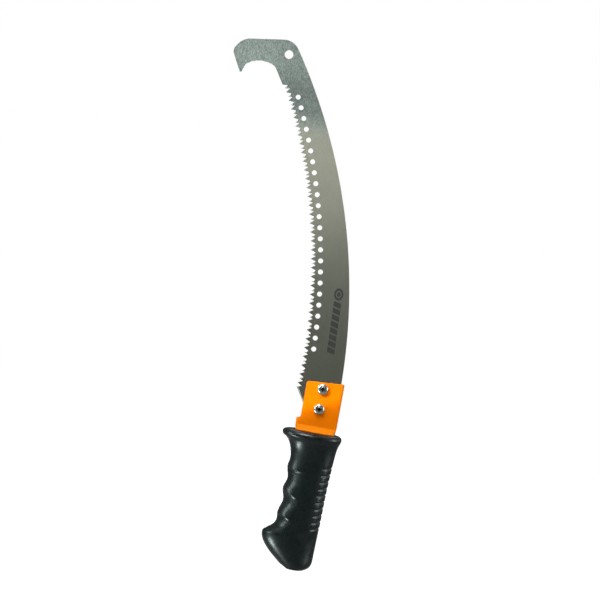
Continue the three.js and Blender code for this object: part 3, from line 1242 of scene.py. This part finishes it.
# ------------------------------------------------------------------------------ grip
def smooth_curve(pairs: Sequence[tuple[float, float]]) -> Callable[[float], float]:
    """A smooth curve through height and value pairs that never overshoots between them.

    Args:
        pairs: Heights in rising order, each with its value.

    Returns:
        The curve as a function of height.
    """
    zs, vs = [p[0] for p in pairs], [p[1] for p in pairs]
    gaps = [b - a for a, b in zip(zs, zs[1:])]
    rise = [(b - a) / h for a, b, h in zip(vs, vs[1:], gaps)]
    slopes = [rise[0]]
    for i in range(1, len(zs) - 1):
        if rise[i - 1] * rise[i] <= 0:
            slopes.append(0.0)
            continue
        w1, w2 = 2 * gaps[i] + gaps[i - 1], gaps[i] + 2 * gaps[i - 1]
        slopes.append((w1 + w2) / (w1 / rise[i - 1] + w2 / rise[i]))
    slopes.append(rise[-1])

    def value(z: float) -> float:
        """The curve at a height.

        Args:
            z: The height.

        Returns:
            The value there.
        """
        if z <= zs[0]:
            return vs[0]
        if z >= zs[-1]:
            return vs[-1]
        i = max(k for k in range(len(zs) - 1) if zs[k] <= z)
        t = (z - zs[i]) / gaps[i]
        return (vs[i] * (1 + 2 * t) * (1 - t) ** 2 + slopes[i] * gaps[i] * t * (1 - t) ** 2
                + vs[i + 1] * t * t * (3 - 2 * t) + slopes[i + 1] * gaps[i] * t * t * (t - 1))

    return value


def smoothstep(value: float, low: float, high: float) -> float:
    """A smooth rise from 0 at low to 1 at high."""
    t = min(1.0, max(0.0, (value - low) / (high - low)))
    return t * t * (3 - 2 * t)


@dataclass(frozen=True)
class Ledge:
    """One ledge over a finger hollow: its height, its slant, and where its scoop starts and ends."""

    height: float
    drop: float
    lift: float
    foot: float
    end: float


@dataclass
class Grip:
    """The moulded grip: rim, waist, three finger hollows, ribbed back, pommel and pole socket."""

    tube: BladeHolder
    socket: float = 14.0
    draw: float = 8.0
    ledges: tuple[Ledge, ...] = (
        Ledge(110.0, 0.52, 0.0195, 85.0, -1.0), Ledge(82.8, 0.45, 0.0085, 60.0, -4.5),
        Ledge(56.8, 0.30, 0.0, 41.0, -8.0))
    scoop_depth: float = 1.7
    ribs: int = 10
    rib_pitch: float = 7.43
    first_rib: float = 47.3
    rib_lean: float = 0.17
    pad_height: float = 0.2
    groove_depth: float = 0.75
    cavity_top: float = 153.0
    sides: int = 48
    top: float = 151.2
    left: Callable[[float], float] = smooth_curve([
        (0, -9.3), (5.5, -16.1), (11, -22.8), (16.6, -28.8), (25.4, -35.6), (31.7, -37.9), (35, -38.1),
        (39.2, -33.7), (43.6, -28.0), (47.4, -25.6), (51, -24.6), (57.5, -25.3), (73, -21.5),
        (84.6, -24.1), (97, -21.0), (110, -23.4), (118.5, -22.0), (128, -23.5), (134.0, -25.6),
        (137.6, -27.4), (141.0, -30.4), (142.8, -33.3), (144.2, -35.0), (145.8, -35.7), (147.6, -35.4),
        (149.2, -34.2), (150.4, -32.3), (151.0, -30.2), (151.2, -28.0)])
    right: Callable[[float], float] = smooth_curve([
        (0, 15.0), (2.5, 19.6), (5, 21.5), (9, 22.7), (23, 23.1), (56, 23.9), (87, 24.4), (110, 25.5),
        (127, 26.7), (134, 27.4), (140.0, 28.7), (143.2, 30.0), (145.6, 30.6), (147.2, 30.7),
        (148.8, 30.1), (150.0, 28.9), (150.8, 27.2), (151.2, 25.2)])
    depth: Callable[[float], float] = smooth_curve([
        (0, 16.3), (2.5, 17.8), (8, 18.6), (40, 19.0), (84.6, 18.6), (118.5, 18.2), (128, 18.7),
        (134.5, 19.6), (140.4, 21.0), (144.0, 22.6), (146.0, 22.9), (148.0, 22.2), (149.6, 20.6),
        (150.6, 18.4), (151.2, 15.6)])

    def _levels(self) -> list[float]:
        """The heights of the sections.

        Returns:
            The heights in rising order.
        """
        low = [0, 0.7, 1.8, 3.2, 5.0, 7.2, 9.6, 12.4, 15.4, 18.4, 21.4, 24.4, 27.2, 29.8, 31.8, 33.4,
               34.6, 35.6, 36.8, 38.4, 40.4]
        foot, neck = 42.4, 139.0
        steps = round((neck - foot) / 2.2)
        middle = [foot + (neck - foot) * k / steps for k in range(steps + 1)]
        return low + middle + [140.4, 141.8, 143.0, 144.2, 145.4, 146.6, 147.7, 148.7, 149.6, 150.3,
                               150.8, 151.05, self.top]

    def _body(self) -> bpy.types.Object:
        """Raise the body ring by ring from its lower end.

        Returns:
            The body.
        """
        levels = self._levels()
        deselect()
        bpy.ops.mesh.primitive_circle_add(vertices=self.sides, radius=MM, fill_type="NGON")
        piece = bpy.context.object
        piece.name = piece.data.name = "grip_body"
        with editing(piece, "FACE"):
            bpy.ops.mesh.select_all(action="SELECT")
            middle, wide, deep, here = 0.0, 1.0, 1.0, 0.0
            for i, z in enumerate(levels):
                left, right = self.left(z), self.right(z)
                shift = Vector(((left + right) / 2 - middle, 0, z - here)) * MM
                if i == 0:
                    bpy.ops.transform.translate(value=shift)
                else:
                    bpy.ops.mesh.extrude_region_move(TRANSFORM_OT_translate={"value": shift})
                middle, here = (left + right) / 2, z
                bpy.ops.transform.resize(value=((right - left) / 2 / wide, self.depth(z) / deep, 1),
                                         center_override=(middle * MM, 0, here * MM))
                wide, deep = (right - left) / 2, self.depth(z)
        face_outwards(piece)
        with editing(piece, "EDGE") as mesh:
            for edge in mesh.edges:
                ends = {len(face.verts) > 4 for face in edge.link_faces}
                edge.select_set(ends == {True, False})
            bpy.ops.transform.edge_crease(value=0.85)
        finish_with(piece, "SUBSURF", levels=2, render_levels=2)
        return piece

    def _scoop(self, c: Vector) -> float:
        """How deep the finger scoops are at a place, as a share of the deepest.

        Args:
            c: The place, in metres.

        Returns:
            The share.
        """
        x, z = c.x / MM, c.z / MM
        deepest = 0.0
        for ledge in self.ledges:
            ridge, low, end = ledge.height, ledge.foot, ledge.end
            if low < z < ridge + 0.7:
                rise = ((z - low) / (ridge - low)) ** 1.5
                fillet = 1 - 0.30 * smoothstep(z, ridge - 4.5, ridge - 0.4)
                edge = 1 - smoothstep(z, ridge - 1.2, ridge + 0.7)
                side = 1 - smoothstep(x, end - 14, end)
                deepest = max(deepest, min(1.0, rise) * fillet * edge * side)
        return deepest * smoothstep(abs(c.y) / MM, 2.0, 9.0)

    def _drawn_down(self, c: Vector) -> float:
        """How far a place is drawn down so that the ledges slant, as a share of the most.

        Args:
            c: The place, in metres.

        Returns:
            The share.
        """
        x, z = c.x / MM, c.z / MM
        run = min(max(x + 24.0, 0.0), 24.0)
        fade = 1 - smoothstep(x, 2, 20)
        total = 0.0
        for ledge in self.ledges:
            near = max(0.0, 1 - abs(z - ledge.height) / 25.5)
            total += near * near * (3 - 2 * near) * (ledge.drop * run - ledge.lift * run * run)
        return max(0.0, total * fade * smoothstep(abs(c.y) / MM, 2.0, 9.0) / self.draw)

    def _rib(self, c: Vector) -> tuple[float, float]:
        """Where a place lies in the ribbed back: the share of the rib pads, and of their grooves.

        Args:
            c: The place, in metres.

        Returns:
            The two shares.
        """
        x, z = c.x / MM, c.z / MM
        level = z - self.rib_lean * (x - 21)
        count, pitch = self.ribs, self.rib_pitch
        phase = (level - self.first_rib) / pitch
        if not -0.6 < phase < count - 0.4:
            return 0.0, 0.0
        inner = self.right(z) - (9.4 + 1.6 * (x < 0))
        reach = smoothstep(x, inner - 1.2, inner + 1.4)
        near = abs(phase - round(phase)) * pitch
        groove = 0.0 if not -0.3 < phase < count - 0.7 else 1 - smoothstep(near, 0.3, 1.4)
        pad = smoothstep(phase, -0.25, 0.0) * (1 - smoothstep(phase, count - 1.0, count - 0.85))
        return reach * pad, reach * groove

    def _press(self, piece: bpy.types.Object, name: str, weight: Callable[[Vector], float], by: float,
               way: str = "NORMAL") -> None:
        """Press a piece inwards, or down, by a weighted depth.

        Args:
            piece: The mesh object.
            name: The vertex group's name.
            weight: The share of the depth at each vertex.
            by: The depth in millimetres.
            way: The direction that it is pressed against.
        """
        group = piece.vertex_groups.new(name=name)
        for vert in piece.data.vertices:
            share = weight(vert.co)
            if share > 0.003:
                group.add([vert.index], share, "REPLACE")
        finish_with(piece, "DISPLACE", strength=-by * MM, mid_level=0.0, vertex_group=name,
                    direction=way)

    def _seat(self, z: float) -> float:
        """How far outside the middle of the tube's wall the cavity lies at a height."""
        flare = 0.8 * smoothstep(z, 141, 149)
        return self.tube.wall / 2 + 0.35 + flare + 1.3 * smoothstep(z, 149.2, 151.2)

    def build(self) -> bpy.types.Object:
        """Model the grip.

        Returns:
            The finished grip.
        """
        piece = self._body()
        self._press(piece, "scoops", self._scoop, self.scoop_depth)
        self._press(piece, "drawn", self._drawn_down, self.draw, "Z")
        self._press(piece, "pads", lambda c: self._rib(c)[0], -self.pad_height)
        self._press(piece, "grooves", lambda c: self._rib(c)[1], self.groove_depth)
        finish_with(piece, "SMOOTH", factor=0.5, iterations=2)
        carve(piece, self.tube.solid("grip_cavity", self.tube.start - 0.3, self.cavity_top, self._seat))
        deselect()
        bpy.ops.mesh.primitive_cylinder_add(vertices=72, radius=self.socket * MM, depth=40 * MM,
                                            location=(0, 0, 5 * MM))
        bore = bpy.context.object
        place(bore)
        carve(piece, bore)
        piece.name = piece.data.name = "grip_shell"
        smooth_shade(piece, 62)
        return piece


# ------------------------------------------------------------------------------ fasteners
@dataclass
class Fasteners:
    """The two cross-recess screws with their washers, spring washers and nuts."""

    x: float = 0.0
    heights: tuple[tuple[str, float], ...] = tuple(zip(("upper", "lower"), SCREW_HEIGHTS))
    head_under: float = -2.6
    washer_at: float = 2.6
    spring_at: float = 4.3
    nut_at: float = 6.0
    tip: float = 13.4
    head: float = 6.0
    washer_thick: float = 1.6
    nut_thick: float = 5.0
    nut_flats: float = 10.0
    shading: float = 28.0

    def _screw(self, name: str, z: float) -> bpy.types.Object:
        """A pan-head screw with a cross recess and a threaded shank.

        Args:
            name: The piece's name.
            z: The height of its axis.

        Returns:
            The finished piece.
        """
        under = self.head_under
        profile: list[tuple[float, float]] = [(0, self.tip), (2.2, self.tip), (2.5, self.tip - 0.3)]
        y = self.tip - 0.3
        while y > self.tip - 11.5:
            profile += [(2.5, y), (2.92, y - 0.42), (2.92, y - 0.58)]
            y -= 1.0
        profile += [(2.5, y), (2.9, y - 0.4), (2.9, under), (5.75, under),
                    (self.head, under - 0.25)]
        rim, crown = under - 1.35, under - 3.85
        profile.append((self.head, rim))
        for k in range(1, 10):
            turn = math.radians(90 * k / 10)
            profile.append((self.head * math.cos(turn) ** 0.75, rim + (crown - rim) * math.sin(turn)))
        profile.append((0, crown))
        cleaned = [p for i, p in enumerate(profile) if i == 0 or p != profile[i - 1]]
        piece = turned(name, cleaned, self.x, z, 64)
        for quarter in (0, 1):
            deselect()
            bpy.ops.mesh.primitive_cube_add(size=1, location=(self.x * MM, (crown - 0.1) * MM, z * MM),
                                            scale=(7.2 * MM, 5.2 * MM, 1.6 * MM),
                                            rotation=(0, quarter * math.pi / 2, 0))
            wing = bpy.context.object
            place(wing)
            with editing(wing, "FACE"):
                pick_faces(wing, lambda f: f.normal.y > 0.5)
                flat = (0.45, 1, 0.6) if quarter == 0 else (0.6, 1, 0.45)
                bpy.ops.transform.resize(value=flat, center_override=(self.x * MM, 0, z * MM))
            carve(piece, wing)
        well = turned("well", [(0, crown - 1), (1.75, crown - 1), (1.5, crown + 1.6), (0, crown + 2.9)],
                      self.x, z, 24)
        carve(piece, well)
        piece.name = piece.data.name = name
        return piece

    def _washer(self, name: str, z: float) -> bpy.types.Object:
        """A plain washer with one rounded edge.

        Args:
            name: The piece's name.
            z: The height of its axis.

        Returns:
            The finished piece.
        """
        low, high = self.washer_at, self.washer_at + self.washer_thick
        profile = [(3.2, low + 0.1), (3.3, low), (5.9, low), (6.0, low + 0.1), (6.0, high - 0.35),
                   (5.9, high - 0.12), (5.65, high), (3.3, high), (3.2, high - 0.1)]
        return turned(name, profile, self.x, z, 64)

    def _spring(self, name: str, z: float) -> bpy.types.Object:
        """A split spring washer.

        Args:
            name: The piece's name.
            z: The height of its axis.

        Returns:
            The finished piece.
        """
        low, high = self.spring_at, self.spring_at + self.washer_thick
        pen = Pen(self.x + 3.3, low + 0.12, z, Plane.LEVEL, name)
        for r, y in ((3.42, low), (5.43, low), (5.55, low + 0.12), (5.55, high - 0.12), (5.43, high),
                     (3.42, high), (3.3, high - 0.12), (3.3, low + 0.12)):
            pen.line(self.x + r, y)
        pen.close()
        bpy.ops.mesh.edge_face_add()
        bpy.ops.mesh.spin(steps=60, angle=math.radians(349), center=(self.x * MM, 0, z * MM),
                          axis=(0, 1, 0))
        piece = pen.lift()
        face_outwards(piece)
        return piece

    def _nut(self, name: str, z: float) -> bpy.types.Object:
        """A hexagon nut with chamfered corners and a countersunk bore.

        Args:
            name: The piece's name.
            z: The height of its axis.

        Returns:
            The finished piece.
        """
        low, high = self.nut_at, self.nut_at + self.nut_thick
        deselect()
        bpy.ops.mesh.primitive_cylinder_add(
            vertices=6, radius=self.nut_flats / math.sqrt(3) * MM, depth=self.nut_thick * MM,
            rotation=(math.pi / 2, 0, 0),
            location=(self.x * MM, (low + high) / 2 * MM, z * MM))
        piece = bpy.context.object
        piece.name = piece.data.name = name
        place(piece)
        crown = turned("crown", [(0, low), (4.9, low), (5.9, low + 0.55), (5.9, high - 0.55),
                                 (4.9, high), (0, high)], self.x, z, 72)
        carve(piece, crown, "INTERSECT")
        bore = turned("bore", [(0, low - 1), (4.0, low - 1), (3.06, low + 0.35), (3.06, high - 0.35),
                               (4.0, high + 1), (0, high + 1)], self.x, z, 48)
        carve(piece, bore)
        soften(piece, 0.12, 2, 40)
        return piece

    def build(self) -> dict[str, tuple[bpy.types.Object, str]]:
        """Model every fastener.

        Returns:
            Each node's name with its piece and the body that it rides on.
        """
        makers = (("screw", self._screw), ("flat_washer", self._washer),
                  ("spring_washer", self._spring), ("nut", self._nut))
        done: dict[str, tuple[bpy.types.Object, str]] = {}
        first, second = self.heights
        for kind, make in makers:
            piece = make(f"{first[0]}_{kind}_visual", first[1])
            smooth_shade(piece, self.shading)
            copy = twin(piece, f"{second[0]}_{kind}_visual", (0, 0, (second[1] - first[1]) * MM))
            for where, item in ((first[0], piece), (second[0], copy)):
                body = f"{where}_{kind}" if kind in ("screw", "nut") else "head"
                done[f"{where}_{kind}"] = (item, body)
        return done


# ------------------------------------------------------------------------------ studio
COLD: Colour = (0.84, 1.0, 0.98)


@dataclass(frozen=True)
class Lamp:
    """One soft light: where it hangs and points, in metres, its size, watts and colour."""

    name: str
    place: tuple[float, float, float]
    target: tuple[float, float, float]
    size: tuple[float, float]
    power: float
    tint: Colour = (1.0, 1.0, 1.0)


@dataclass(frozen=True)
class Beam:
    """One narrow lamp whose beam has a fairly clean edge: its spread is in degrees."""

    name: str
    place: tuple[float, float, float]
    target: tuple[float, float, float]
    spread: float
    power: float
    blend: float = 0.03
    soft: float = 0.002


@dataclass
class Studio:
    """The pale floor, the soft lights and the camera."""

    aim: tuple[float, float] = (-0.0423, 0.2909)
    roll: float = 10.4
    distance: float = 1.5
    field_of_view: float = 0.660
    sensor: float = 36.0
    floor_at: float = -0.45
    floor_size: float = 14.0
    floor_grey: Colour = (0.28, 0.28, 0.28)
    lamps: tuple[Lamp, ...] = (
        Lamp("key", (-0.45, -0.75, 1.60), (-0.04, 0.0, 0.28), (0.6, 0.6), 26),
        Lamp("front_soft", (-0.04, -1.3, 0.625), (-0.04, 0, 0.46), (0.30, 0.24), 1.2),
        Lamp("left_strip", (-1.05, -0.38, 0.32), (0, 0, 0.14), (0.16, 0.8), 5.2, COLD),
        Lamp("low_left", (-0.62, -0.34, -0.38), (0, 0, 0.13), (0.17, 0.17), 4.0, COLD),
        Lamp("right_strip", (1.1, -0.25, 0.35), (0, 0, 0.14), (0.3, 0.7), 5.0, COLD),
        Lamp("back", (0.1, 1.0, 1.9), (-0.04, 0.0, 0.28), (1.5, 1.5), 12),
        Lamp("back_soft", (-0.2, 1.6, -0.10), (-0.04, 0, 0.30), (0.9, 0.5), 9))
    beam: Beam = Beam("upper_beam", (-1.1, -0.7, 1.0), (-0.336, 0.0, 0.50), 22.10, 140)
    room: Colour = (0.95, 1.0, 0.98)
    glow_right: float = 0.75
    glow_left: float = 0.22
    glow_behind: float = 0.08
    glow_above: float = 0.50
    glow_all: float = 0.05

    def _hang(self, data: bpy.types.Light, lamp: Lamp | Beam) -> bpy.types.Object:
        """Hang a lamp and point it.

        Args:
            data: The light.
            lamp: Where it hangs and points.

        Returns:
            The light's object.
        """
        item = bpy.data.objects.new(lamp.name, data)
        bpy.context.scene.collection.objects.link(item)
        aim = (Vector(lamp.target) - Vector(lamp.place)).to_track_quat("-Z", "Y")
        item.matrix_world = Matrix.Translation(lamp.place) @ aim.to_matrix().to_4x4()
        return item

    def _lights(self) -> None:
        """Hang every light."""
        for lamp in self.lamps:
            data = bpy.data.lights.new(lamp.name, "AREA")
            data.shape, data.color, data.energy = "RECTANGLE", lamp.tint, lamp.power
            data.size, data.size_y = lamp.size
            self._hang(data, lamp).visible_camera = False
        spot = bpy.data.lights.new(self.beam.name, "SPOT")
        spot.energy, spot.spot_size = self.beam.power, math.radians(self.beam.spread)
        spot.spot_blend, spot.shadow_soft_size = self.beam.blend, self.beam.soft
        self._hang(spot, self.beam)

    def _world(self) -> None:
        """White behind the object, and a soft grey room for it to reflect."""
        world = bpy.data.worlds.new("studio")
        bpy.context.scene.world = world
        world.use_nodes = True
        g = Graph(world.node_tree)
        world.node_tree.nodes.clear()
        seen = g.add("ShaderNodeBackground", {"Color": (1.0, 1.0, 1.0), "Strength": 1.0})
        generated = g.add("ShaderNodeTexCoord").outputs["Generated"]
        way = g.add("ShaderNodeSeparateXYZ", {0: generated}).outputs
        sides = g.math("ADD", g.ramp(way[0], 0.45, 0.95, 0.0, self.glow_right),
                       g.ramp(way[0], -0.45, -0.98, 0.0, self.glow_left))
        behind = g.ramp(way[1], 0.2, 1.0, 0.0, self.glow_behind)
        above = g.ramp(way[2], 0.5, 1.0, 0.0, self.glow_above)
        glow = g.math("ADD", g.math("ADD", sides, behind), g.math("ADD", above, self.glow_all))
        room = g.add("ShaderNodeBackground", {"Color": self.room, "Strength": glow})
        direct = g.add("ShaderNodeLightPath").outputs["Is Camera Ray"]
        both = g.add("ShaderNodeMixShader", {0: direct, 1: room.outputs[0], 2: seen.outputs[0]})
        g.add("ShaderNodeOutputWorld", {0: both.outputs[0]})

    def _floor(self) -> None:
        """A wide pale floor well below the object."""
        deselect()
        bpy.ops.mesh.primitive_plane_add(size=self.floor_size, location=(0, 0, self.floor_at))
        floor = bpy.context.object
        floor.name = "floor"
        mat, g, shader, _ = new_material("pale_floor", Roughness=0.9)
        g.feed(shader.inputs["Base Color"], self.floor_grey)
        g.feed(shader.inputs["Emission Color"], (1.0, 1.0, 1.0))
        g.feed(shader.inputs["Emission Strength"], g.add("ShaderNodeLightPath").outputs["Is Camera Ray"])
        floor.data.materials.append(mat)

    def _camera(self) -> None:
        """The camera, level with the middle of the object and rolled a little."""
        data = bpy.data.cameras.new("camera")
        data.sensor_width = self.sensor
        data.lens = self.sensor * self.distance / self.field_of_view
        data.clip_start = 0.01
        camera = bpy.data.objects.new("camera", data)
        bpy.context.scene.collection.objects.link(camera)
        turn = math.radians(self.roll)
        right = Vector((math.cos(turn), 0, math.sin(turn)))
        upward = Vector((-math.sin(turn), 0, math.cos(turn)))
        back = Vector((0, -1, 0))
        basis = Matrix((right, upward, back)).transposed().to_4x4()
        camera.matrix_world = Matrix.Translation((self.aim[0], -self.distance, self.aim[1])) @ basis
        bpy.context.scene.camera = camera

    def build(self) -> None:
        """Set the studio up."""
        bpy.context.scene.view_settings.view_transform = "Standard"
        self._world()
        self._floor()
        self._camera()
        self._lights()


def dress_all(piece: bpy.types.Object, material: bpy.types.Material) -> None:
    """Give a whole piece one material."""
    piece.data.materials.clear()
    piece.data.materials.append(material)


def main() -> None:
    """Build every sub-assembly, dress it and tie it to its body."""
    logging.basicConfig(level=logging.INFO, format="%(name)s: %(message)s")
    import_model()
    fx = Effects()
    zinc = ZincFinish().material(fx)
    blade_maker = SawBlade()
    blade = blade_maker.build()
    blade_maker.dress(blade, SteelFinish().material(fx), GroundFinish().material(fx))
    holder_maker = BladeHolder()
    holder = holder_maker.build()
    dress_all(holder, PaintFinish().material(fx))
    grip = Grip(holder_maker).build()
    dress_all(grip, PlasticFinish().material(fx))
    rows = [(blade, "saw_blade", "head", "blade_steel"),
            (holder, "blade_holder", "head", "holder_paint"), (grip, "grip", "head", "grip_plastic")]
    for node, (piece, body) in Fasteners().build().items():
        dress_all(piece, zinc)
        rows.append((piece, node, body, "zinc"))
    for piece, node, body, slot in rows:
        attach(piece, body)
        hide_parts(node)
        LOG.info("%s stands for %s on %s: %d faces", piece.name, node, body, len(piece.data.polygons))
    Studio().build()


if __name__ == "__main__":
    main()
